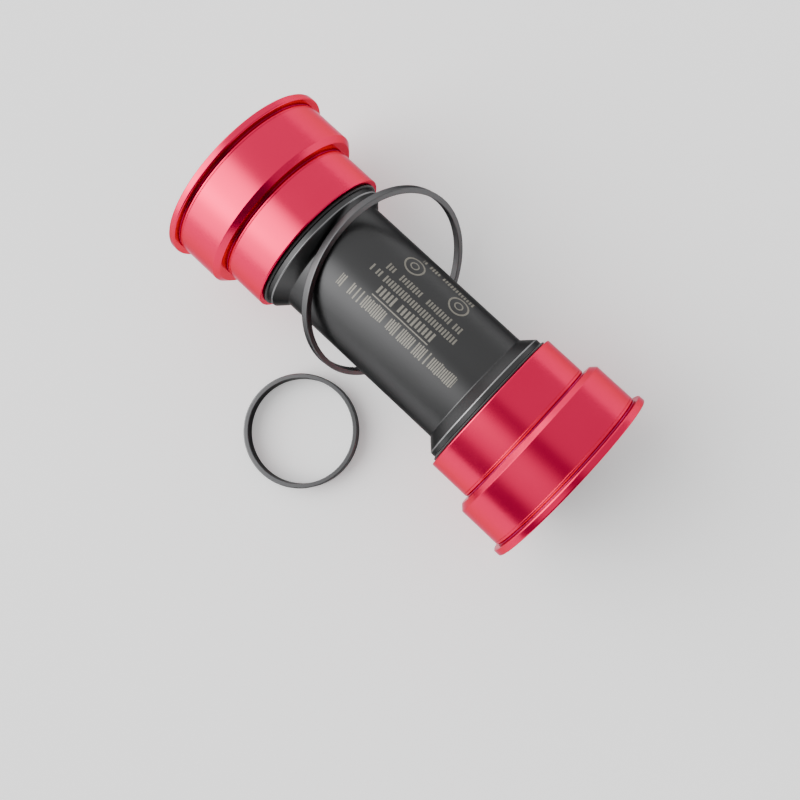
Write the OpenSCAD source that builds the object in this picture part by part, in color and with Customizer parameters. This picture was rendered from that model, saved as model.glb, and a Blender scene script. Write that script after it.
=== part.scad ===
// Thread-together press-fit bottom bracket for a 24 mm spindle, with its two loose spacers.
// The bracket's axis is X, with the right cup at +X. The origin is the middle of the axis.
// The whole set lies on a level surface that touches the two cup flanges.

/* [Frame shell] */
// Width of the frame shell between the two flanges
shell_w = 92; // [89.5:0.5:94]
// Bore of the frame shell, which the barrels fill
shell_bore_d = 41; // [40.9:0.05:41.1]

/* [Cups] */
// Diameter of the flange outside the shell
flange_d = 43.7; // [43:0.1:46]
// Thickness of the flange
flange_t = 1.6; // [1.4:0.1:2.2]
// Length of the barrel that is pressed into the shell
barrel_len = 10.1; // [9.5:0.1:10.6]
// Outside diameter of the threaded neck
neck_d = 35.4; // [35.2:0.1:36]
// Reach of the neck's inboard end from the middle
neck_end_x = 24.8; // [24.4:0.1:25.2]
// Number of wrench notches in the mouth of a cup
notch_count = 16; // [8:1:20]

/* [Sleeve] */
// Outside diameter of the centre sleeve
sleeve_d = 27.5; // [27:0.1:28]
// Bore of the centre sleeve
sleeve_bore_d = 24.9; // [24.6:0.1:25.2]
// Outside diameter of the collar at each end of the sleeve
collar_d = 32.4; // [32:0.1:33]
// Thread pitch of the cups on the sleeve
thread_pitch = 1; // [0.75:0.25:1]
// Largest diameter of the sleeve's thread
thread_d = 31.3; // [31.2:0.1:31.4]

/* [Bearings] */
// Diameter of the crank spindle that the bearings take
spindle_d = 24; // [23.9:0.05:24]
// Bore of the inner race
bearing_bore_d = 25; // [24.98:0.01:25.02]
// Outside diameter of the bearing
bearing_d = 37; // [36.9:0.05:37.1]
// Width of the bearing
bearing_w = 7; // [6.8:0.1:7]
// Number of balls in each bearing
ball_count = 16; // [10:1:18]
// Diameter of a ball
ball_d = 3.969; // [3.8:0.001:4]

/* [Loose spacers] */
// Outside diameter of the ring that packs a narrower shell
width_ring_d = 43.7; // [43:0.1:45]
// Bore of the ring that packs a narrower shell
width_ring_bore_d = 41.2; // [41.15:0.05:41.4]
// Thickness of the ring that packs a narrower shell
width_ring_t = 1.8; // [1.5:0.1:2]
// Lean of the ring from upright, where it rests on the sleeve beside the left collar
width_ring_lean = 31.8; // [31.8:0.1:32.4]
// Outside diameter of the short spacer for the spindle
spindle_ring_d = 26.3; // [26:0.1:28]
// Length of the short spacer for the spindle
spindle_ring_len = 4.3; // [3:0.1:6]

/* [Hidden] */
$fn = 96;

RIGHT = 1;
LEFT = -1;
cup_color = "crimson";
black_color = [0.10, 0.10, 0.11];
rubber_color = [0.05, 0.05, 0.05];
steel_color = [0.72, 0.73, 0.75];
ceramic_color = [0.90, 0.90, 0.88];
cage_color = [0.55, 0.42, 0.25];

edge = 0.25;                              // small chamfer on turned edges
gap = 0.02;                               // clearance between faces that seat on each other
flange_x = shell_w / 2;                   // the flange's inboard face
face_x = flange_x + flange_t;             // the flange's outboard face
barrel_x = flange_x - barrel_len;         // the barrel's inboard edge
lead_in = 1.1;                            // length of the 45 degree cone that starts the barrel
neck_root_x = barrel_x - lead_in;
groove_w = 0.4;                           // floor of the relief groove beside a shoulder
groove_depth = 0.2;

o_ring_gap = 0.6;                         // slot for the seal between the collar and the neck
collar_x = neck_end_x - o_ring_gap;       // the collar's outboard face
collar_band = 1.2;                        // straight part of the collar
collar_inner_x = collar_x - collar_band;
bevel = (collar_d - sleeve_d) / 2;        // 45 degree bevel from the sleeve up to the collar
spigot_end_x = neck_end_x + 7.9;          // outboard end of the sleeve's thread
spigot_bore_d = thread_d - 2.7;
thread_depth = 0.54;
thread_turns = 7;
thread_gap = 0.2;                         // the cup's thread is this much wider than the sleeve's

seat_x = face_x - 9.4;                    // shoulder that the bearing is pressed against
seat_end_x = seat_x + bearing_w;
mouth_d = bearing_d + 0.2;
cup_bore_d = bearing_d - 4.2;             // clear bore between the thread and the bearing
notch_r = 1.2;

pitch_r = (bearing_bore_d + bearing_d) / 4;
track_r = ball_d / 2 + 0.036;
outer_shoulder_r = pitch_r + 1.1;
inner_shoulder_r = pitch_r - 1.1;
seal_step = 0.6;                          // depth of the seal's recess in the outer race
seal_t = 0.5;
seal_r = outer_shoulder_r + 0.7;
cage_w = 4.8;
cage_wall = 1.8;

cover_x = seat_end_x + 0.8;               // inboard face of the cover's disc
cover_t = 1;
cover_face_x = face_x + 0.6;              // outboard face of the cover, which the crank rests on
cover_r = mouth_d / 2 - 0.7;
cover_hub_r = spindle_d / 2 + 2.2;
cover_tube_x = seat_x + 0.7;              // inboard end of the tube through the inner race

surface_z = -flange_d / 2;                // the level surface that everything lies on
width_ring_turn = 7.6;                    // yaw of the leaning ring
width_ring_x = -9;
width_ring_y = 3.75;
width_ring_z = surface_z + width_ring_d / 2 * cos(width_ring_lean)
    + width_ring_t / 2 * sin(width_ring_lean);
spindle_ring_bore_d = spindle_d + 0.1;
spindle_ring_x = -2.8;
spindle_ring_y = -33.5;

// A solid turned about X from an outline of [x, radius] points
module turned(outline) {
    rotate([0, 90, 0])
        rotate_extrude()
            polygon([for (p = outline) [p[1], p[0]]]);
}

// A plain turned ring between two radii, from x0 to x1, with both outer edges chamfered by c
module turned_ring(r_in, r_out, x0, x1, c = 0) {
    turned(c == 0
        ? [[x0, r_in], [x0, r_out], [x1, r_out], [x1, r_in]]
        : [[x0, r_in], [x0, r_out - c], [x0 + c, r_out], [x1 - c, r_out], [x1, r_out - c], [x1, r_in]]);
}

// Puts a piece drawn for the right-hand side on the side that is asked for
module on_side(side) {
    if (side == RIGHT) children();
    else mirror([1, 0, 0]) children();
}

// Outline of thread_turns vee grooves, cut from radius r to r + depth, starting at x0
function vee_grooves(x0, r, depth) =
    [for (i = [0 : thread_turns - 1], p = [[0.125, 0], [0.5, depth], [0.875, 0]])
        [x0 + (i + p[0]) * thread_pitch, r + p[1]]];

function reversed(list) = [for (i = [len(list) - 1 : -1 : 0]) list[i]];

// Half of the sleeve's outside, from the middle out to the end of its thread
function sleeve_side() = concat(
    [[collar_inner_x - bevel, sleeve_d / 2],
     [collar_inner_x, collar_d / 2],
     [collar_x, collar_d / 2],
     [collar_x, thread_d / 2 - thread_depth],
     [neck_end_x + 0.1, thread_d / 2 - thread_depth],
     [neck_end_x + 0.4, thread_d / 2]],
    vee_grooves(neck_end_x + 0.4, thread_d / 2, -thread_depth),
    [[spigot_end_x - edge, thread_d / 2],
     [spigot_end_x, thread_d / 2 - edge]]);

// Half of the sleeve's bore, which widens under the collar and the thread
function sleeve_bore() =
    [[spigot_end_x, spigot_bore_d / 2],
     [collar_inner_x - 0.2, spigot_bore_d / 2],
     [collar_inner_x - 0.2 - (spigot_bore_d - sleeve_bore_d) / 2, sleeve_bore_d / 2]];

module center_sleeve() {
    half = concat(sleeve_side(), sleeve_bore());
    color(black_color)
        union() {
            turned(concat([[0, sleeve_d / 2]], half, [[0, sleeve_bore_d / 2]]));
            mirror([1, 0, 0]) turned(concat([[0, sleeve_d / 2]], half, [[0, sleeve_bore_d / 2]]));
        }
}

// The rubber seal squeezed between the collar and the cup's neck
module sleeve_o_ring(side) {
    section_r = o_ring_gap / 2 - gap;
    color(rubber_color)
        on_side(side)
            translate([collar_x + o_ring_gap / 2, 0, 0])
                rotate([0, 90, 0])
                    rotate_extrude() {
                        translate([thread_d / 2 + 0.1, -section_r]) square([0.7, 2 * section_r]);
                        translate([thread_d / 2 + 0.8, 0]) circle(r = section_r, $fn = 32);
                    }
}

// Outside of a cup, from the mouth of the neck to the mouth of the bearing seat
function cup_outside() =
    [[neck_end_x, neck_d / 2 - edge],
     [neck_end_x + edge, neck_d / 2],
     [neck_root_x - groove_w - groove_depth, neck_d / 2],
     [neck_root_x - groove_w, neck_d / 2 - groove_depth],
     [neck_root_x, neck_d / 2 - groove_depth],
     [neck_root_x, shell_bore_d / 2 - lead_in],
     [barrel_x, shell_bore_d / 2],
     [flange_x - groove_w - groove_depth, shell_bore_d / 2],
     [flange_x - groove_w, shell_bore_d / 2 - groove_depth],
     [flange_x - groove_depth, shell_bore_d / 2 - groove_depth],
     [flange_x, shell_bore_d / 2 + gap],
     [flange_x, flange_d / 2 - edge],
     [flange_x + edge, flange_d / 2],
     [face_x - edge, flange_d / 2],
     [face_x, flange_d / 2 - edge]];

// Inside of a cup, from the outboard mouth back to the mouth of the neck
function cup_inside() = concat(
    [[face_x, mouth_d / 2 + edge],
     [face_x - edge, mouth_d / 2],
     [seat_end_x, mouth_d / 2],
     [seat_end_x, bearing_d / 2],
     [seat_x, bearing_d / 2],
     [seat_x, cup_bore_d / 2],
     [spigot_end_x + 0.5, cup_bore_d / 2],
     [spigot_end_x + 0.5, (thread_d + thread_gap) / 2]],
    reversed(vee_grooves(neck_end_x + 0.5, (thread_d + thread_gap) / 2, thread_depth)),
    [[neck_end_x + 0.5, (thread_d + thread_gap) / 2],
     [neck_end_x, (thread_d + thread_gap) / 2 + 0.5]]);

module cup(side) {
    color(cup_color)
        on_side(side)
            difference() {
                turned(concat(cup_outside(), cup_inside()));
                for (i = [0 : notch_count - 1])
                    rotate([i * 360 / notch_count, 0, 0])
                        translate([seat_end_x + 0.3, 0, mouth_d / 2 - 0.1])
                            rotate([0, 90, 0])
                                cylinder(r = notch_r, h = flange_t + 2, $fn = 32);
            }
}

// The groove that the balls run in
module ball_track() {
    translate([seat_x + bearing_w / 2, 0, 0])
        rotate([0, 90, 0])
            rotate_extrude()
                translate([pitch_r, 0]) circle(r = track_r, $fn = 48);
}

module outer_race(side) {
    color(steel_color)
        on_side(side)
            difference() {
                turned([[seat_x, seal_r + gap], [seat_x, bearing_d / 2 - edge],
                    [seat_x + edge, bearing_d / 2 - gap], [seat_end_x - edge, bearing_d / 2 - gap],
                    [seat_end_x, bearing_d / 2 - edge], [seat_end_x, seal_r + gap],
                    [seat_end_x - seal_step, seal_r + gap], [seat_end_x - seal_step, outer_shoulder_r],
                    [seat_x + seal_step, outer_shoulder_r], [seat_x + seal_step, seal_r + gap]]);
                ball_track();
            }
}

module inner_race(side) {
    color(steel_color)
        on_side(side)
            difference() {
                turned_ring(bearing_bore_d / 2, inner_shoulder_r, seat_x, seat_end_x, 0.15);
                ball_track();
            }
}

module bearing_balls(side) {
    color(ceramic_color)
        on_side(side)
            for (i = [0 : ball_count - 1])
                rotate([i * 360 / ball_count, 0, 0])
                    translate([seat_x + bearing_w / 2, 0, pitch_r])
                        sphere(d = ball_d, $fn = 48);
}

// The cage that keeps the balls apart, with one round pocket for each
module ball_cage(side) {
    color(cage_color)
        on_side(side)
            translate([seat_x + bearing_w / 2, 0, 0])
                difference() {
                    turned_ring(pitch_r - cage_wall / 2, pitch_r + cage_wall / 2, -cage_w / 2, cage_w / 2);
                    for (i = [0 : ball_count - 1])
                        rotate([i * 360 / ball_count, 0, 0])
                            cylinder(r = ball_d / 2 + gap, h = bearing_d / 2, $fn = 48);
                }
}

// A rubber shield clipped into the outer race, with its lip just clear of the inner race
module bearing_seal(side, x0) {
    color(rubber_color)
        on_side(side)
            turned_ring(inner_shoulder_r + 0.05, seal_r, x0, x0 + seal_t, 0.1);
}

module outboard_seal(side) {
    bearing_seal(side, seat_end_x - seal_t - 0.05);
}

module inboard_seal(side) {
    bearing_seal(side, seat_x + 0.05);
}

// The cover that turns with the spindle: a thin tube through the inner race and a disc outside
module dust_cover(side) {
    spindle_r = spindle_d / 2;
    color(black_color)
        on_side(side)
            turned([[cover_tube_x, spindle_r + 0.1], [cover_tube_x, bearing_bore_d / 2 - 0.2],
                [cover_tube_x + 0.3, bearing_bore_d / 2 - gap],
                [seat_end_x + gap, bearing_bore_d / 2 - gap],
                [seat_end_x + gap, inner_shoulder_r - 0.2],
                [cover_x, inner_shoulder_r - 0.2],
                [cover_x, cover_r - 0.7], [cover_x - 0.45, cover_r - 0.7],
                [cover_x - 0.45, cover_r], [cover_x + cover_t - edge, cover_r],
                [cover_x + cover_t, cover_r - edge], [cover_x + cover_t, cover_hub_r],
                [cover_face_x - edge, cover_hub_r], [cover_face_x, cover_hub_r - edge],
                [cover_face_x, spindle_r + edge], [cover_face_x - edge, spindle_r],
                [cover_tube_x + 0.1, spindle_r]]);
}

// The soft lip behind the cover's disc, which wipes the face of the bearing
module cover_lip_seal(side) {
    lip_r = pitch_r + 0.3;
    color(rubber_color)
        on_side(side)
            turned([[cover_x, lip_r - 0.6], [cover_x, lip_r + 0.6], [cover_x - 0.2, lip_r + 0.6],
                [cover_x - 0.55, lip_r + 0.9], [cover_x - 0.55, lip_r + 0.65],
                [cover_x - 0.3, lip_r + 0.1], [cover_x - 0.3, lip_r - 0.6]]);
}

// The loose ring stands on the surface and leans on top of the sleeve, beside the left collar
module width_spacer_ring() {
    color(black_color)
        translate([width_ring_x, width_ring_y, width_ring_z])
            rotate([0, -width_ring_lean, width_ring_turn])
                turned_ring(width_ring_bore_d / 2, width_ring_d / 2,
                    -width_ring_t / 2, width_ring_t / 2, 0.15);
}

// The spindle's short spacer lies flat on the surface beside the bracket
module spindle_spacer() {
    color(black_color)
        translate([spindle_ring_x, spindle_ring_y, surface_z])
            rotate([0, -90, 0])
                turned_ring(spindle_ring_bore_d / 2, spindle_ring_d / 2, 0, spindle_ring_len, edge);
}

center_sleeve();
cup(LEFT);  // left_cup
cup(RIGHT);  // right_cup
sleeve_o_ring(LEFT);  // left_sleeve_o_ring
sleeve_o_ring(RIGHT);  // right_sleeve_o_ring
outer_race(LEFT);  // left_outer_race
outer_race(RIGHT);  // right_outer_race
inner_race(LEFT);  // left_inner_race
inner_race(RIGHT);  // right_inner_race
bearing_balls(LEFT);  // left_bearing_balls
bearing_balls(RIGHT);  // right_bearing_balls
ball_cage(LEFT);  // left_ball_cage
ball_cage(RIGHT);  // right_ball_cage
outboard_seal(LEFT);  // left_outboard_seal
outboard_seal(RIGHT);  // right_outboard_seal
inboard_seal(LEFT);  // left_inboard_seal
inboard_seal(RIGHT);  // right_inboard_seal
dust_cover(LEFT);  // left_dust_cover
dust_cover(RIGHT);  // right_dust_cover
cover_lip_seal(LEFT);  // left_cover_lip_seal
cover_lip_seal(RIGHT);  // right_cover_lip_seal
width_spacer_ring();
spindle_spacer();
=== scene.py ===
"""The looks of a press-fit bottom bracket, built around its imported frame.

Everything is in metres in the row frame: X is the bracket's axis, with the right cup at +X, and +Z is up
from the surface that the bracket lies on. Outlines are in millimetres along X and outwards from X.
"""
import math

import bmesh
import bpy
from mathutils import Matrix, Vector


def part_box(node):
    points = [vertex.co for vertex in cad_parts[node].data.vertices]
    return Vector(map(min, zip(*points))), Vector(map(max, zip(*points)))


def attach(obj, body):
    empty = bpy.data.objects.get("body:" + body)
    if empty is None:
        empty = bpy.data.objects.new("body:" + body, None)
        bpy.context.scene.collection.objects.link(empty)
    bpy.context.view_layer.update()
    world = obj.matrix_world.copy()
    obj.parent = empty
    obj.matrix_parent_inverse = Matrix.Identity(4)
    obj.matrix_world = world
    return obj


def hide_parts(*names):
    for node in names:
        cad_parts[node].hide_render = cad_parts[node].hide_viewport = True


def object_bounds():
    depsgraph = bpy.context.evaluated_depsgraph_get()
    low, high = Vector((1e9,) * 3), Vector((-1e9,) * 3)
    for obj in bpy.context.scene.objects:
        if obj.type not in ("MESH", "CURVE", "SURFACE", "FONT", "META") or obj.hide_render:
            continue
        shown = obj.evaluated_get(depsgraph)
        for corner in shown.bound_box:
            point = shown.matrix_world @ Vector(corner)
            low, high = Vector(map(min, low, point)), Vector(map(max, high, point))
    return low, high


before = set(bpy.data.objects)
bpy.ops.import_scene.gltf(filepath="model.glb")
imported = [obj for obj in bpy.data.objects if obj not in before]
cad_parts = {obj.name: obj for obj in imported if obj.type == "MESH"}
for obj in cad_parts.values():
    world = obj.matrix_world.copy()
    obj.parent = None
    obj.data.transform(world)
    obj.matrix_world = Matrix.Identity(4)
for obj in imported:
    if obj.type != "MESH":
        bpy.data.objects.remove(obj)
cad_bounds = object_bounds()

MM = 0.001
TURN = 2 * math.pi

# ---------------------------------------------------------------- sizes, in millimetres

cup_low, cup_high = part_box("right_cup")
sleeve_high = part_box("center_sleeve")[1]
cover_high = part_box("right_dust_cover")[1]
ring_low, ring_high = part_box("width_spacer_ring")
spacer_low, spacer_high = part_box("spindle_spacer")

FACE_X = cup_high.x / MM              # outboard face of the flange
NECK_X = cup_low.x / MM               # inboard end of the neck
FLANGE_R = cup_high.z / MM
FLANGE_T = 1.6
FLANGE_X = FACE_X - FLANGE_T
BARREL_R = 20.5
BARREL_W = 10.1
BARREL_X = FLANGE_X - BARREL_W
LEAD_IN = 1.1
NECK_R = 17.7
NECK_ROOT_X = BARREL_X - LEAD_IN
GROOVE_W = 0.3
GROOVE_DEPTH = 0.25
GROOVE_RAMP = 0.2                     # length of the groove's sloping side
FINE_LINE = 0.98                      # from a shoulder to the middle of the fine turned line
FINE_LINE_HALF = 0.08
FINE_LINE_DEPTH = 0.07

SLEEVE_R = 13.75
SLEEVE_BORE_R = 12.45
COLLAR_R = sleeve_high.z / MM
O_RING_GAP = 0.6                      # between the collar and the neck
COLLAR_X = NECK_X - O_RING_GAP
COLLAR_BAND = 1.2
SPIGOT_X = sleeve_high.x / MM
SPIGOT_BORE_R = 14.3
SPIGOT_CHAMFER = 0.3                  # along the axis, from the thread's crest to its root
SPIGOT_RELIEF = 0.2                   # the wide bore goes this far past the collar's bevel edge
THREAD_R = 15.65
THREAD_DEPTH = 0.54
THREAD_PITCH = 1.0
THREAD_GAP = 0.1                      # the cup's thread is this much larger in radius
THREAD_STEPS = 16                     # outline points along one turn of thread
THREAD_FADE = 0.7                     # the thread reaches its full depth over this length
O_RING_HALF = 0.27
O_RING_IN_R = THREAD_R + 0.1
O_RING_OUT_R = THREAD_R + 1.07

BEARING_R = 18.5
BEARING_W = 7.0
SEAT_DEPTH = 9.4                      # from the flange's face to the bottom of the bearing seat
SEAT_X = FACE_X - SEAT_DEPTH
SEAT_END_X = SEAT_X + BEARING_W
SEAT_LIP = 2.1
MOUTH_R = BEARING_R + 0.1
MOUTH_REACH = 0.6                     # what is this near to the mouth is cut by the notches
CUP_BORE_R = BEARING_R - SEAT_LIP
NOTCHES = 16
NOTCH_R = 1.2
NOTCH_FLOOR_X = SEAT_END_X + 0.3
SAME = 0.001                          # radii that differ by less are the same
SQUARE_STEP = 0.01                    # points this close along the axis make a square step

SPINDLE_R = 12.0
RACE_BORE_R = 12.5
PITCH_R = 15.5
BALL_R = 1.9845
BALLS = 16
SHOULDER_RISE = 1.1                   # from the balls' pitch circle to a race's shoulder
OUTER_SHOULDER_R = PITCH_R + SHOULDER_RISE
INNER_SHOULDER_R = PITCH_R - SHOULDER_RISE
TRACK_PLAY = 0.036                    # a race's groove is this much larger in radius than its balls
TRACK_STEPS = 14
SEAL_R = OUTER_SHOULDER_R + 0.7
SEAL_T = 0.5
SEAL_STEP = 0.6
SEAL_GAP = 0.05                       # from a seal to the race's face and to the inner race
SEAL_BEAD = 0.55
SEAL_DISH = 0.16

COVER_FACE_X = cover_high.x / MM
COVER_R = cover_high.z / MM
COVER_X = SEAT_END_X + 0.8
COVER_T = 1.0
COVER_HUB_R = SPINDLE_R + 2.2
COVER_SKIRT_X = COVER_X - 0.45
COVER_SKIRT_R = COVER_R - 0.7
COVER_GROOVE_HALF = 0.18
COVER_GROOVE_DEPTH = 0.14
GAP = 0.02

WIDTH_RING_BORE_R = 20.6
WIDTH_RING_T = 1.8
WIDTH_RING_LEAN = math.radians(31.8)
WIDTH_RING_YAW = math.radians(7.6)
SPINDLE_SPACER_BORE_R = 12.05

FILLET_STEPS = 5
SHARP_ANGLE = math.radians(32)        # edges sharper than this aren't smoothed

# ---------------------------------------------------------------- mesh helpers


def rounded(outline, hold=0.04):
    """The outline with each (x, r, fillet) corner rounded. A short straight of length hold on both sides
    of a fillet keeps its shading off the long faces beside it."""
    points = []
    count = len(outline)
    for i, corner in enumerate(outline):
        here = Vector(corner[:2])
        fillet = corner[2] if len(corner) > 2 else 0
        if not fillet:
            points.append(tuple(here))
            continue
        back = (Vector(outline[i - 1][:2]) - here).normalized()
        ahead = (Vector(outline[(i + 1) % count][:2]) - here).normalized()
        half = math.acos(max(-1, min(1, back.dot(ahead)))) / 2
        reach = fillet / math.tan(half)
        centre = here + (back + ahead).normalized() * fillet / math.sin(half)
        first = here + back * reach
        last = here + ahead * reach
        start = math.atan2(first.y - centre.y, first.x - centre.x)
        sweep = math.atan2(last.y - centre.y, last.x - centre.x) - start
        sweep = (sweep + math.pi) % TURN - math.pi
        points.append(tuple(first + back * hold))
        for k in range(FILLET_STEPS + 1):
            angle = start + sweep * k / FILLET_STEPS
            points.append((centre.x + fillet * math.cos(angle), centre.y + fillet * math.sin(angle)))
        points.append(tuple(last + ahead * hold))
    return points


def turned(name, outline, steps=192, shape=None):
    """A closed solid turned about X from a closed outline of (x, r) points in millimetres.
    shape(x, r, angle) may change the radius, which is how notches and threads are cut."""
    vertices = []
    for k in range(steps):
        angle = TURN * k / steps
        across, up = math.sin(angle), math.cos(angle)
        for x, r in outline:
            radius = (shape(x, r, angle) if shape else r) * MM
            vertices.append((x * MM, radius * across, radius * up))
    count = len(outline)
    faces = []
    for k in range(steps):
        here = k * count
        there = (k + 1) % steps * count
        for i in range(count):
            j = (i + 1) % count
            faces.append((here + i, here + j, there + j, there + i))
    mesh = bpy.data.meshes.new(name)
    mesh.from_pydata(vertices, [], faces)
    return finished(name, mesh)


def finished(name, mesh):
    """An object from a mesh, smooth but for its sharp edges, with its faces outwards."""
    work = bmesh.new()
    work.from_mesh(mesh)
    bmesh.ops.recalc_face_normals(work, faces=work.faces)
    work.to_mesh(mesh)
    work.free()
    mesh.shade_smooth()
    mesh.set_sharp_from_angle(angle=SHARP_ANGLE)
    piece = bpy.data.objects.new(name, mesh)
    bpy.context.scene.collection.objects.link(piece)
    return piece


def on_side(outline, side):
    """The outline for the side that is asked for: 1 is right and -1 is left."""
    return [(x * side, r) for x, r in outline]


def place(piece, body, slot, material, *nodes):
    """Ties a piece to its body, its material and the CAD nodes that it stands for. slot is not used."""
    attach(piece, body)
    if nodes:
        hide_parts(*nodes)
    piece.data.materials.clear()
    piece.data.materials.append(material)


# ---------------------------------------------------------------- materials

RED_DYE = ((0.74, 0.003, 0.070), (0.82, 0.005, 0.084))
RED_EDGE = (0.6, 0.25, 0.36)
# the colour of the painted shade in a cup's relief grooves and bore
PAINTED_SHADE_RED = (0.42, 0.012, 0.10, 1)
BLACK_DYE = ((0.058, 0.058, 0.059), (0.072, 0.072, 0.073))
BLACK_EDGE = (0.3, 0.3, 0.3)
RING_DYE = ((0.105, 0.105, 0.107), (0.135, 0.135, 0.138))
RING_EDGE = (0.2, 0.2, 0.2)
RED_ROUGHNESS = 0.23
BLACK_ROUGHNESS = 0.33
MARK_ROUGHNESS = 0.55
BURNT_OFF = ((0.12, 0.114, 0.10, 1), (0.36, 0.342, 0.30, 1))
# the colour of the highlight painted along the collars' edges
PAINTED_EDGE_HIGHLIGHT = (0.26, 0.26, 0.265, 1)
TURNING_MARKS = 0.0000012             # their depth, in metres
INNER_EDGE_HALF = 0.14                # half the width of the painted highlight on a collar's edge
OUTER_EDGE_HALF = 0.12
EDGE_REACH = 0.2                      # how far in from the collar's radius they go
SHADE_REACH = 0.3                       # how far out from the bore's radius the painted shade goes
GROOVE_LIP = 0.05                     # the top of a relief groove that is left without painted shade
STROKE_HALF = 0.28                    # half a stroke's width, as a share of the pitch
SHORTEST = 0.36                       # half a stroke's height, as a share of the row's height
TALLEST = 0.5
LEFT_OUT = 0.13                       # share of the strokes


class Shader:
    """A material's node tree, with short calls for the nodes that the materials here share."""

    def __init__(self, name, lie=None):
        """lie is the matrix of a ring that doesn't lie along X, so that its finish follows its own axis."""
        self.lie = lie
        self.material = bpy.data.materials.new(name)
        self.material.use_nodes = True
        self.tree = self.material.node_tree
        self.surface = self.tree.nodes["Principled BSDF"]

    def node(self, kind, settings=None, **inputs):
        node = self.tree.nodes.new(kind)
        for key, value in (settings or {}).items():
            setattr(node, key, value)
        for key, value in inputs.items():
            self.feed(node.inputs[key.replace("_", " ")], value)
        return node

    def feed(self, socket, value):
        if isinstance(value, bpy.types.NodeSocket):
            self.tree.links.new(value, socket)
        else:
            socket.default_value = value

    def math(self, operation, a, b=0.0, c=0.0):
        node = self.tree.nodes.new("ShaderNodeMath")
        node.operation = operation
        for socket, value in zip(node.inputs, (a, b, c)):
            self.feed(socket, value)
        return node.outputs[0]

    def noise(self, scale, detail):
        place = self.place_in_object()
        return self.node("ShaderNodeTexNoise", Vector=place, Scale=scale, Detail=detail).outputs["Fac"]

    def noise_along(self, value, scale, detail):
        node = self.node(
            "ShaderNodeTexNoise", {"noise_dimensions": "1D"}, W=value, Scale=scale, Detail=detail)
        return node.outputs["Fac"]

    def place_in_object(self):
        place = self.node("ShaderNodeTexCoord").outputs["Object"]
        if self.lie is None:
            return place
        turned_back = self.node("ShaderNodeMapping", {"vector_type": "TEXTURE"}, Vector=place)
        turned_back.inputs["Location"].default_value = self.lie.to_translation()
        turned_back.inputs["Rotation"].default_value = self.lie.to_euler()
        return turned_back.outputs[0]

    def between(self, factor, low, high):
        """low to high as factor goes from 0 to 1."""
        node = self.node("ShaderNodeMapRange")
        for socket, value in zip(node.inputs, (factor, 0.0, 1.0, low, high)):
            self.feed(socket, value)
        return node.outputs[0]

    def mix(self, factor, first, second):
        node = self.node("ShaderNodeMix", {"data_type": "RGBA"})
        self.feed(node.inputs[0], factor)
        self.feed(node.inputs[6], first)
        self.feed(node.inputs[7], second)
        return node.outputs[2]

    def bump(self, height, distance, strength):
        node = self.node("ShaderNodeBump", Height=height, Distance=distance, Strength=strength)
        self.feed(self.surface.inputs["Normal"], node.outputs[0])

    def constant(self, **inputs):
        for key, value in inputs.items():
            self.surface.inputs[key.replace("_", " ")].default_value = value


def radius_of(shader, split):
    """Distance from the X axis, from a Separate XYZ node."""
    y, z = split.outputs["Y"], split.outputs["Z"]
    return shader.math("SQRT", shader.math("MULTIPLY_ADD", y, y, shader.math("MULTIPLY", z, z)))


def tool_path(shader):
    """Distance along a turned outline: x plus the distance from the axis, so that a value which changes
    with it draws rings on barrels, cones and faces alike."""
    split = shader.node("ShaderNodeSeparateXYZ", Vector=shader.place_in_object())
    return shader.math("ADD", split.outputs["X"], radius_of(shader, split))


def anodised(name, dye, roughness, edge, coat=0.0, marked=False, shade_grooves=False, lie=None):
    """Anodised aluminium: a dyed metal whose tone wanders between the two colours of dye, with fine turning
    marks. edge is the colour of the glancing reflection. Where it is marked, the laser has burnt the dye off
    to a pale, slightly speckled grey, and a highlight is painted along the collars' edges. Where it is asked
    for, painted shade darkens the cup's bore and relief grooves. lie is as in Shader."""
    shader = Shader(name, lie)
    path = tool_path(shader)
    tone = shader.noise(scale=55.0, detail=3.0)
    deep, bright = dye
    colour = shader.mix(tone, (*deep, 1), (*bright, 1))
    if marked:
        mask = marking(shader)
        speckle = shader.mix(shader.noise(scale=6000.0, detail=3.0), *BURNT_OFF)
        colour = shader.mix(mask, colour, speckle)
        # painted highlight: a lighter colour along the collars' edges
        colour = shader.mix(collar_edge_highlights(shader), colour, PAINTED_EDGE_HIGHLIGHT)
        roughness = shader.between(mask, roughness, MARK_ROUGHNESS)
    # painted shade: the cup's relief grooves and bore are darkened where shade falls
    if shade_grooves:
        colour = shader.mix(groove_and_bore_shade(shader), colour, PAINTED_SHADE_RED)
    shader.feed(shader.surface.inputs["Base Color"], colour)
    rings = shader.noise_along(path, scale=9000.0, detail=3.0)
    smudge = shader.noise(scale=140.0, detail=4.0)
    spread = shader.math("ADD", shader.between(rings, -0.03, 0.03), shader.between(smudge, -0.03, 0.03))
    shader.feed(shader.surface.inputs["Roughness"], shader.math("ADD", spread, roughness))
    shader.bump(rings, distance=TURNING_MARKS, strength=0.6)
    shader.constant(Metallic=1.0, Specular_Tint=(*edge, 1), Coat_Weight=coat, Coat_Roughness=0.16)
    if lie is None:
        tangent = shader.node("ShaderNodeTangent", {"direction_type": "RADIAL", "axis": "X"})
        shader.feed(shader.surface.inputs["Tangent"], tangent.outputs[0])
        shader.constant(Anisotropic=0.2)
    return shader.material


def reach_and_radius(shader):
    """Distance along the axis from the middle, and from the axis, in millimetres."""
    split = shader.node("ShaderNodeSeparateXYZ", Vector=shader.place_in_object())
    reach = shader.math("DIVIDE", shader.math("ABSOLUTE", split.outputs["X"]), MM)
    return reach, shader.math("DIVIDE", radius_of(shader, split), MM)


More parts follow.
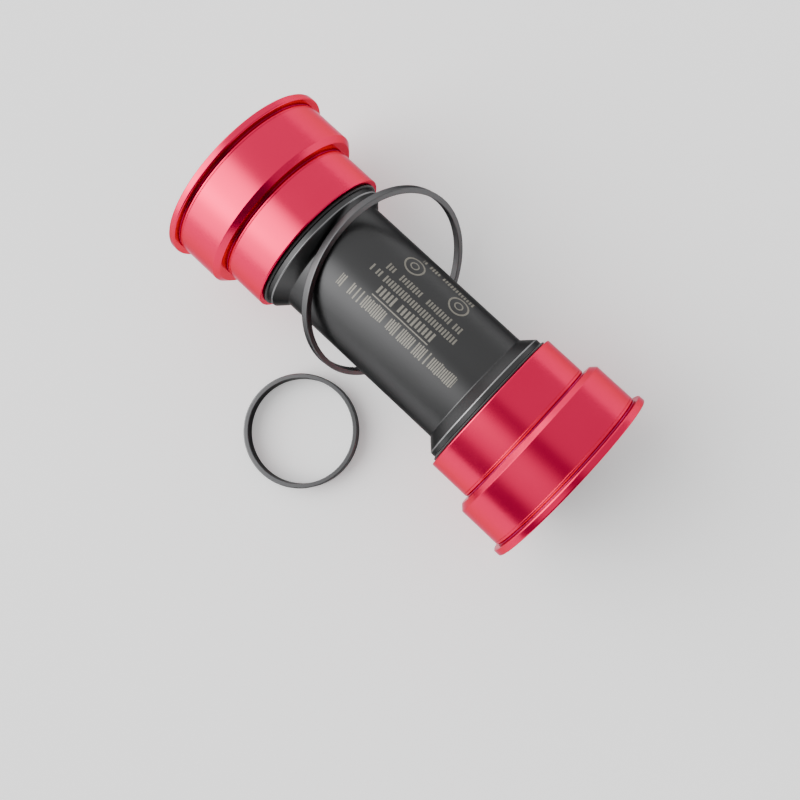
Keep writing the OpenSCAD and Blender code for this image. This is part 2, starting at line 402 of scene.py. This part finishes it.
def collar_edge_highlights(shader):
    """1 on the two outer edges of each collar, where a highlight is painted."""
    reach, radius = reach_and_radius(shader)
    inner = shader.math("COMPARE", reach, COLLAR_X - COLLAR_BAND, INNER_EDGE_HALF)
    both = shader.math("ADD", inner, shader.math("COMPARE", reach, COLLAR_X, OUTER_EDGE_HALF))
    return shader.math("MULTIPLY", both, shader.math("GREATER_THAN", radius, COLLAR_R - EDGE_REACH))


def groove_and_bore_shade(shader):
    """1 where painted shade darkens a cup: in its two relief grooves and all over its bore."""
    reach, radius = reach_and_radius(shader)
    total = shader.math("LESS_THAN", radius, CUP_BORE_R + SHADE_REACH)
    for end, r in ((NECK_ROOT_X, NECK_R), (FLANGE_X, BARREL_R)):
        along = shader.math("COMPARE", reach, end - GROOVE_W / 2, GROOVE_W / 2 + GROOVE_RAMP)
        below = shader.math("COMPARE", radius, r - GROOVE_DEPTH, GROOVE_DEPTH - GROOVE_LIP)
        total = shader.math("MULTIPLY_ADD", along, below, total)
    return total


def stroke_row(shader, x, around, low, high, middle, height, pitch, seed):
    """1 on a row of plain upright strokes from x = low to high, some of them shorter and some left out."""
    cell = shader.math("MULTIPLY_ADD", x, 1 / pitch, seed)
    chance = shader.node("ShaderNodeTexWhiteNoise", {"noise_dimensions": "1D"},
                         W=shader.math("FLOOR", cell)).outputs["Value"]
    stroke = shader.math("COMPARE", shader.math("FRACT", cell), 0.5, STROKE_HALF)
    reach = shader.between(chance, height * SHORTEST, height * TALLEST)
    tall = shader.math("COMPARE", around, middle, reach)
    there = shader.math("GREATER_THAN", chance, LEFT_OUT)
    span = shader.math("COMPARE", x, (low + high) / 2, (high - low) / 2)
    drawn = shader.math("MULTIPLY", stroke, tall)
    return shader.math("MULTIPLY", drawn, shader.math("MULTIPLY", there, span))


def ring_mark(shader, x, around, middle_x, middle, radius, line):
    """1 on a plain ring."""
    dx, dy = shader.math("SUBTRACT", x, middle_x), shader.math("SUBTRACT", around, middle)
    square = shader.math("MULTIPLY_ADD", dx, dx, shader.math("MULTIPLY", dy, dy))
    return shader.math("COMPARE", shader.math("SQRT", square), radius, line / 2)


def bar_mark(shader, x, around, low, high, middle, line):
    """1 on a plain straight bar along the axis."""
    span = shader.math("COMPARE", x, (low + high) / 2, (high - low) / 2)
    return shader.math("MULTIPLY", span, shader.math("COMPARE", around, middle, line / 2))


def marking(shader):
    """1 where the sleeve is marked, in millimetres along the axis and around the tube from its top. A row is
    its low and high end, its middle, the strokes' height and pitch, and the seed that picks them."""
    split = shader.node("ShaderNodeSeparateXYZ", Vector=shader.place_in_object())
    x = shader.math("DIVIDE", split.outputs["X"], MM)
    y, z = split.outputs["Y"], split.outputs["Z"]
    around = shader.math("MULTIPLY", shader.math("ARCTAN2", y, z), SLEEVE_R)
    rows = [(-13.8, 17.4, -2.8, 3.0, 0.52, 0.0), (-6.7, 8.4, 0.9, 2.3, 0.95, 40.0),
            (-11.6, 12.6, 3.4, 1.7, 0.72, 80.0), (-8.8, 11.4, 5.9, 1.7, 0.72, 120.0),
            (-4.6, 9.4, 14.0, 1.6, 0.72, 160.0)]
    marks = [stroke_row(shader, x, around, *row) for row in rows]
    marks.append(bar_mark(shader, x, around, -6.7, 8.4, -0.75, 0.25))
    rings_middle = 10.4
    for middle_x in (-4.8, 7.3):
        for radius, line in ((2.2, 0.4), (0.9, 0.3)):
            marks.append(ring_mark(shader, x, around, middle_x, rings_middle, radius, line))
    total = marks[0]
    for mark in marks[1:]:
        total = shader.math("MAXIMUM", total, mark)
    outside = shader.math("GREATER_THAN", radius_of(shader, split), (SLEEVE_R - 0.3) * MM)
    return shader.math("MULTIPLY", total, outside)


def rubber(name, colour):
    shader = Shader(name)
    grain = shader.noise(scale=2500.0, detail=4.0)
    shader.feed(shader.surface.inputs["Base Color"],
                shader.mix(grain, (*colour, 1), (*[c * 1.8 for c in colour], 1)))
    shader.feed(shader.surface.inputs["Roughness"], shader.between(grain, 0.5, 0.75))
    shader.bump(grain, distance=0.00001, strength=0.5)
    shader.constant(Metallic=0.0)
    return shader.material


def ground_steel(name):
    """Bearing steel, ground and polished on its races."""
    shader = Shader(name)
    rings = shader.noise_along(tool_path(shader), scale=14000.0, detail=2.0)
    shader.feed(shader.surface.inputs["Base Color"],
                shader.mix(rings, (0.40, 0.40, 0.415, 1), (0.52, 0.52, 0.535, 1)))
    shader.feed(shader.surface.inputs["Roughness"], shader.between(rings, 0.16, 0.3))
    shader.bump(rings, distance=0.000002, strength=0.5)
    shader.constant(Metallic=1.0)
    return shader.material


def ceramic(name):
    shader = Shader(name)
    cloud = shader.noise(scale=400.0, detail=3.0)
    shader.feed(shader.surface.inputs["Base Color"],
                shader.mix(cloud, (0.74, 0.73, 0.69, 1), (0.84, 0.83, 0.80, 1)))
    shader.feed(shader.surface.inputs["Roughness"], shader.between(cloud, 0.08, 0.16))
    shader.constant(Metallic=0.0)
    return shader.material


def nylon(name):
    shader = Shader(name)
    grain = shader.noise(scale=1800.0, detail=5.0)
    shader.feed(shader.surface.inputs["Base Color"],
                shader.mix(grain, (0.26, 0.18, 0.08, 1), (0.36, 0.27, 0.13, 1)))
    shader.feed(shader.surface.inputs["Roughness"], shader.between(grain, 0.4, 0.6))
    shader.bump(grain, distance=0.00002, strength=0.4)
    return shader.material


def floor_paint(name):
    shader = Shader(name)
    tone = shader.noise(scale=3.0, detail=2.0)
    shader.feed(shader.surface.inputs["Base Color"],
                shader.mix(tone, (0.82, 0.82, 0.82, 1), (0.86, 0.86, 0.86, 1)))
    shader.constant(Roughness=0.7, Emission_Color=(1, 1, 1, 1), Emission_Strength=0.3)
    return shader.material


RED = anodised("red_anodised_groove_shade", RED_DYE, RED_ROUGHNESS, RED_EDGE, coat=0.1, shade_grooves=True)
BLACK = anodised("black_anodised", BLACK_DYE, BLACK_ROUGHNESS, BLACK_EDGE)
MARKED_BLACK_EDGE_HIGHLIGHTS = anodised("marked_black_edge_highlights", BLACK_DYE, BLACK_ROUGHNESS, BLACK_EDGE, marked=True)
RUBBER = rubber("black_rubber", (0.012, 0.012, 0.012))
STEEL = ground_steel("ground_steel")
CERAMIC = ceramic("ceramic")
NYLON = nylon("nylon")

# ---------------------------------------------------------------- the cups


def ridge(x, angle):
    """0 to 1 across one turn of a right-hand thread, the same whichever end it is on."""
    return 0.5 + 0.5 * math.cos(TURN * (x / THREAD_PITCH + angle / TURN))


def thread_cut(x, angle, start, end):
    """How deep the thread is cut at x, fading out at both ends of its run."""
    reach = abs(x)
    fade = min(1, (reach - start) / THREAD_FADE, (end - reach) / THREAD_FADE)
    return THREAD_DEPTH * ridge(x, angle) * max(0, fade)


def thread_run(start, end, r):
    """Outline points, close enough together for a thread."""
    count = round((end - start) / THREAD_PITCH * THREAD_STEPS)
    return [(start + (end - start) * i / count, r) for i in range(count + 1)]


def notched(r, angle):
    """The mouth's radius, with round wrench notches cut into it."""
    step = TURN / NOTCHES
    across = ((angle + step / 2) % step - step / 2) * MOUTH_R
    if abs(across) >= NOTCH_R:
        return r
    return r + math.sqrt(NOTCH_R ** 2 - across ** 2)


CUP_THREAD = (NECK_X + 0.5, SPIGOT_X + 0.5)
SLEEVE_THREAD = (NECK_X + 0.4, SPIGOT_X + THREAD_FADE)      # it runs off the end of the spigot


def cup_shape(x, r, angle):
    reach = abs(x)
    if reach >= NOTCH_FLOOR_X and r < MOUTH_R + MOUTH_REACH:
        return notched(r, angle)
    if r < THREAD_R + THREAD_GAP + 0.05 and reach <= CUP_THREAD[1]:
        return r - thread_cut(x, angle, *CUP_THREAD)
    return r


def sleeve_shape(x, r, angle):
    if abs(r - THREAD_R) < SAME:
        return r - thread_cut(x, angle, *SLEEVE_THREAD)
    return r


def shoulder(x, r, top):
    """The square shoulder at x that rises from a surface of radius r to top, with a relief groove at its
    foot and a fine turned line beyond the narrow land beside the groove."""
    floor_r = r - GROOVE_DEPTH
    line_x = x - FINE_LINE
    return [
        (line_x - FINE_LINE_HALF, r), (line_x, r - FINE_LINE_DEPTH, 0.03),
        (line_x + FINE_LINE_HALF, r, 0.05), (x - GROOVE_W - GROOVE_RAMP, r, 0.2),
        (x - GROOVE_W, floor_r, 0.06), (x, floor_r, 0.1), (x, *top)]


def cup_outline():
    thread_r = THREAD_R + THREAD_GAP
    outside = [
        (NECK_X, NECK_R, 0.28), *shoulder(NECK_ROOT_X, NECK_R, (BARREL_R - LEAD_IN, 0.07)),
        (BARREL_X, BARREL_R, 0.1), *shoulder(FLANGE_X, BARREL_R, (FLANGE_R, 0.32)), (FACE_X, FLANGE_R, 0.32)]
    seat = [
        (FACE_X, MOUTH_R, 0.2), (NOTCH_FLOOR_X, MOUTH_R), (NOTCH_FLOOR_X - SQUARE_STEP, MOUTH_R),
        (SEAT_END_X, MOUTH_R), (SEAT_END_X, BEARING_R, 0.1), (SEAT_X, BEARING_R),
        (SEAT_X, CUP_BORE_R, 0.1), (CUP_THREAD[1] + SQUARE_STEP, CUP_BORE_R)]
    thread = list(reversed(thread_run(*CUP_THREAD, thread_r)))
    return rounded(outside + seat + thread + [(NECK_X, thread_r + 0.5, 0.08)])


def cup(side, word):
    piece = turned(f"{word}_cup_shell", on_side(cup_outline(), side), steps=384, shape=cup_shape)
    place(piece, f"{word}_cup", "cup_red", RED, f"{word}_cup")


# ---------------------------------------------------------------- the sleeve


def sleeve():
    bevel = COLLAR_R - SLEEVE_R
    bevel_x = COLLAR_X - COLLAR_BAND
    root_r = THREAD_R - THREAD_DEPTH
    bore_x = bevel_x - SPIGOT_RELIEF
    half = [
        (bevel_x - bevel, SLEEVE_R, 0.3), (bevel_x, COLLAR_R, 0.2), (COLLAR_X, COLLAR_R, 0.15),
        (COLLAR_X, root_r, 0.1), (NECK_X + 0.1, root_r, 0.1),
        *thread_run(SLEEVE_THREAD[0], SPIGOT_X - SPIGOT_CHAMFER, THREAD_R),
        (SPIGOT_X, root_r), (SPIGOT_X, SPIGOT_BORE_R, 0.1), (bore_x, SPIGOT_BORE_R, 0.2),
        (bore_x - (SPIGOT_BORE_R - SLEEVE_BORE_R), SLEEVE_BORE_R, 0.2)]
    left = [(-x, *rest) for x, *rest in reversed(half)]
    piece = turned("sleeve_tube", rounded(half + left), steps=256, shape=sleeve_shape)
    place(piece, "sleeve", "sleeve_black", MARKED_BLACK_EDGE_HIGHLIGHTS, "center_sleeve")


def o_ring(side, word):
    middle = COLLAR_X + O_RING_GAP / 2
    low, high = middle - O_RING_HALF, middle + O_RING_HALF
    outline = rounded([
        (low, O_RING_IN_R, 0.1), (low, O_RING_OUT_R, 0.26),
        (high, O_RING_OUT_R, 0.26), (high, O_RING_IN_R, 0.1)])
    piece = turned(f"{word}_o_ring", on_side(outline, side))
    place(piece, f"{word}_thread", "rubber_black", RUBBER, f"{word}_sleeve_o_ring")


# ---------------------------------------------------------------- the bearings and their covers


def track(shoulder_r):
    """The groove that the balls run in, as outline points from the inboard shoulder to the outboard one."""
    radius = BALL_R + TRACK_PLAY
    rise = abs(shoulder_r - PITCH_R)
    half = math.sqrt(radius ** 2 - rise ** 2)
    sign = 1 if shoulder_r > PITCH_R else -1
    middle = SEAT_X + BEARING_W / 2
    points = []
    for i in range(TRACK_STEPS + 1):
        x = half * (2 * i / TRACK_STEPS - 1)
        points.append((middle + x, PITCH_R + sign * math.sqrt(radius ** 2 - x ** 2)))
    return points


def races(side, word):
    """The outer race, stepped back for a seal at both faces, and the inner race."""
    outer_r = BEARING_R - GAP
    step_r = SEAL_R + GAP
    low_step_x, high_step_x = SEAT_X + SEAL_STEP, SEAT_END_X - SEAL_STEP
    outer = rounded([
        (SEAT_X, step_r, 0.08), (SEAT_X, outer_r, 0.25),
        (SEAT_END_X, outer_r, 0.25), (SEAT_END_X, step_r, 0.08),
        (high_step_x, step_r), (high_step_x, OUTER_SHOULDER_R, 0.05), *reversed(track(OUTER_SHOULDER_R)),
        (low_step_x, OUTER_SHOULDER_R, 0.05), (low_step_x, step_r)])
    inner = rounded([
        (SEAT_X, RACE_BORE_R, 0.2), (SEAT_X, INNER_SHOULDER_R, 0.12), *track(INNER_SHOULDER_R),
        (SEAT_END_X, INNER_SHOULDER_R, 0.12), (SEAT_END_X, RACE_BORE_R, 0.2)])
    piece = turned(f"{word}_outer_ring", on_side(outer, side))
    place(piece, f"{word}_cup", "race_steel", STEEL, f"{word}_outer_race")
    piece = turned(f"{word}_inner_ring", on_side(inner, side))
    place(piece, f"{word}_spindle_seat", "race_steel", STEEL, f"{word}_inner_race")


def balls(side, word):
    work = bmesh.new()
    middle = side * (SEAT_X + BEARING_W / 2)
    for i in range(BALLS):
        angle = TURN * i / BALLS
        centre = Vector((middle, PITCH_R * math.sin(angle), PITCH_R * math.cos(angle)))
        there = Matrix.Translation(centre * MM)
        bmesh.ops.create_icosphere(work, subdivisions=4, radius=BALL_R * MM, matrix=there)
    mesh = bpy.data.meshes.new(f"{word}_balls")
    work.to_mesh(mesh)
    work.free()
    piece = finished(f"{word}_balls_set", mesh)
    place(piece, f"{word}_balls", "ball_ceramic", CERAMIC, f"{word}_bearing_balls")


def bearing_seal(side, word, face, x_in, x_out):
    """A rubber shield with a raised bead where it clips into the outer race, a dished web and a fine lip.
    x_in is its face towards the balls."""
    out = 1 if x_out > x_in else -1
    low, high = INNER_SHOULDER_R + SEAL_GAP, SEAL_R
    web_x = x_out - out * SEAL_DISH
    outline = rounded([
        (x_in, low + 0.15, 0.04), (x_in, high, 0.1), (x_out, high, 0.14), (x_out, high - SEAL_BEAD, 0.1),
        (web_x, high - SEAL_BEAD - 0.2, 0.1), (web_x, low + 0.7, 0.1), (x_out, low + 0.4, 0.08),
        (x_out, low, 0.04), (x_out - out * 0.2, low, 0.04)], hold=0.01)
    piece = turned(f"{word}_{face}_shield", on_side(outline, side))
    place(piece, f"{word}_cup", "seal_rubber", RUBBER, f"{word}_{face}_seal")


def dust_cover(side, word):
    """The tube that lines the bearing, the skirt, the face with its turned groove, and the hub."""
    tube_x, tube_r = SEAT_X + 0.7, RACE_BORE_R - GAP
    under_x, under_r = SEAT_END_X + GAP, INNER_SHOULDER_R - 0.2
    face_x = COVER_X + COVER_T
    groove_r = (COVER_HUB_R + COVER_R) / 2 + 0.5
    tube = [
        (tube_x, SPINDLE_R + 0.1, 0.03), (tube_x, tube_r - 0.18), (tube_x + 0.3, tube_r), (under_x, tube_r),
        (under_x, under_r, 0.08)]
    skirt = [
        (COVER_X, under_r), (COVER_X, COVER_SKIRT_R), (COVER_SKIRT_X, COVER_SKIRT_R, 0.08),
        (COVER_SKIRT_X, COVER_R, 0.08)]
    face = [
        (face_x, COVER_R, 0.3), (face_x, groove_r + COVER_GROOVE_HALF, 0.04),
        (face_x - COVER_GROOVE_DEPTH, groove_r, 0.04), (face_x, groove_r - COVER_GROOVE_HALF, 0.04)]
    hub = [(face_x, COVER_HUB_R, 0.25), (COVER_FACE_X, COVER_HUB_R, 0.3), (COVER_FACE_X, SPINDLE_R, 0.3)]
    outline = rounded(tube + skirt + face + hub)
    piece = turned(f"{word}_cover", on_side(outline, side), steps=256)
    place(piece, f"{word}_spindle_seat", "cover_black", BLACK, f"{word}_dust_cover")


def lip_seal(side, word):
    """A flat rubber ring behind the dust cover, with a lip that leans outwards."""
    lip_r = PITCH_R + 0.3
    low_r, high_r = lip_r - 0.6, lip_r + 0.6
    under_x, tip_x = COVER_X - 0.3, COVER_X - 0.55
    outline = rounded([
        (COVER_X, low_r), (COVER_X, high_r), (COVER_X - 0.2, high_r, 0.05), (tip_x, lip_r + 0.9, 0.03),
        (tip_x, lip_r + 0.65, 0.03), (under_x, lip_r + 0.1, 0.08), (under_x, low_r, 0.05)], hold=0.01)
    piece = turned(f"{word}_wiper", on_side(outline, side))
    place(piece, f"{word}_spindle_seat", "seal_rubber", RUBBER, f"{word}_cover_lip_seal")


def cage(word):
    """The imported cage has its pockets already: it only needs its edges kept crisp and its nylon."""
    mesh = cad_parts[f"{word}_ball_cage"].data
    mesh.shade_smooth()
    mesh.set_sharp_from_angle(angle=SHARP_ANGLE)
    mesh.materials.clear()
    mesh.materials.append(NYLON)


# ---------------------------------------------------------------- the loose rings


def ring_black(name, lie):
    return anodised(name, RING_DYE, BLACK_ROUGHNESS, RING_EDGE, lie=lie)


def width_ring():
    """The ring leans, so it is turned about X and then set in the CAD ring's place."""
    half = WIDTH_RING_T / 2
    outline = rounded([
        (-half, WIDTH_RING_BORE_R, 0.12), (-half, FLANGE_R, 0.2),
        (half, FLANGE_R, 0.2), (half, WIDTH_RING_BORE_R, 0.12)])
    piece = turned("width_spacer", outline, steps=256)
    middle = (ring_low + ring_high) / 2
    yaw = Matrix.Rotation(WIDTH_RING_YAW, 4, "Z")
    lean = Matrix.Rotation(-WIDTH_RING_LEAN, 4, "Y")
    lie = Matrix.Translation(middle) @ yaw @ lean
    piece.data.transform(lie)
    place(piece, "width_spacer", "spacer_black", ring_black("leaning_black", lie), "width_spacer_ring")


def spindle_spacer():
    middle = (spacer_low + spacer_high) / 2
    radius = (spacer_high.x - spacer_low.x) / 2 / MM
    half = (spacer_high.z - spacer_low.z) / 2 / MM
    bore = SPINDLE_SPACER_BORE_R
    outline = rounded([(-half, bore, 0.12), (-half, radius, 0.25), (half, radius, 0.25), (half, bore, 0.12)])
    piece = turned("spindle_spacer_ring", outline, steps=192)
    lie = Matrix.Translation(middle) @ Matrix.Rotation(-math.pi / 2, 4, "Y")
    piece.data.transform(lie)
    place(piece, "spindle_spacer", "spacer_black", ring_black("flat_black", lie), "spindle_spacer")


# ---------------------------------------------------------------- camera, floor and lights


CAMERA_AT = Vector((0.0292, -0.0093, 0.2105))
CAMERA_FORWARD = Vector((-0.1070, 0.0293, -0.9938))
CAMERA_RIGHT = Vector((0.7287, 0.6849, -0.0590))
LENS = 45.2                           # millimetres, on a sensor SENSOR_W wide
SENSOR_W = 36
FLOOR_HALF = 4.0


def camera():
    """The photograph's view: from above, with the bracket's axis running down to the right."""
    forward = CAMERA_FORWARD.normalized()
    right = (CAMERA_RIGHT - CAMERA_RIGHT.dot(forward) * forward).normalized()
    up = right.cross(forward)
    data = bpy.data.cameras.new("camera")
    data.lens = LENS
    data.sensor_width = SENSOR_W
    data.shift_x = -0.0205
    data.shift_y = -0.0576
    data.clip_start = 0.01
    piece = bpy.data.objects.new("camera", data)
    turn = Matrix((right, up, -forward)).transposed().to_4x4()
    piece.matrix_world = Matrix.Translation(CAMERA_AT) @ turn
    bpy.context.scene.collection.objects.link(piece)
    bpy.context.scene.camera = piece


def floor():
    level = cad_bounds[0][2]
    corners = [(x * FLOOR_HALF, y * FLOOR_HALF, level) for x, y in ((-1, -1), (1, -1), (1, 1), (-1, 1))]
    mesh = bpy.data.meshes.new("floor")
    mesh.from_pydata(corners, [], [(0, 1, 2, 3)])
    piece = bpy.data.objects.new("floor", mesh)
    bpy.context.scene.collection.objects.link(piece)
    mesh.materials.append(floor_paint("floor_paint"))


def light_tent():
    """A pale tent with soft panels of light on it. Each panel is a direction, the cosines at which it starts
    and is full, and how much brighter than the tent it is."""
    panels = [
        ((0.0, 1.0, 0.0), 0.05, 0.20, 0.55),
        ((-1.0, 0.0, 0.0), -0.60, 0.10, 0.18),
        ((-1.0, 0.0, 0.0), -0.05, 0.45, 0.3),
        ((-0.6, -0.4, 0.7), 0.80, 0.94, 4.2),
        ((-0.6, -0.75, 0.3), 0.83, 0.95, 3.2),
        ((0.05, -0.6, 0.8), 0.86, 0.98, 0.8),
        ((-1.0, 0.0, 0.04), 0.88, 0.99, 3.0)]
    base = 0.17
    world = bpy.data.worlds.new("light_tent")
    world.use_nodes = True
    nodes, links = world.node_tree.nodes, world.node_tree.links
    direction = nodes.new("ShaderNodeTexCoord").outputs["Generated"]
    total = None
    for toward, start, full, brighter in panels:
        dot = nodes.new("ShaderNodeVectorMath")
        dot.operation = "DOT_PRODUCT"
        dot.inputs[1].default_value = Vector(toward).normalized()
        links.new(direction, dot.inputs[0])
        panel = nodes.new("ShaderNodeMapRange")
        panel.interpolation_type = "SMOOTHSTEP"
        links.new(dot.outputs["Value"], panel.inputs["Value"])
        for name, value in (("From Min", start), ("From Max", full), ("To Min", 0.0), ("To Max", brighter)):
            panel.inputs[name].default_value = value
        add = nodes.new("ShaderNodeMath")
        links.new(panel.outputs[0], add.inputs[0])
        if total:
            links.new(total, add.inputs[1])
        else:
            add.inputs[1].default_value = base
        total = add.outputs[0]
    nodes["Background"].inputs["Color"].default_value = (1, 1, 1, 1)
    links.new(total, nodes["Background"].inputs["Strength"])
    bpy.context.scene.world = world


# ---------------------------------------------------------------- assembly

camera()
floor()
light_tent()
sleeve()
width_ring()
spindle_spacer()
for side, word in ((1, "right"), (-1, "left")):
    cup(side, word)
    o_ring(side, word)
    races(side, word)
    balls(side, word)
    cage(word)
    bearing_seal(side, word, "outboard", SEAT_END_X - SEAL_GAP - SEAL_T, SEAT_END_X - SEAL_GAP)
    bearing_seal(side, word, "inboard", SEAT_X + SEAL_GAP + SEAL_T, SEAT_X + SEAL_GAP)
    dust_cover(side, word)
    lip_seal(side, word)
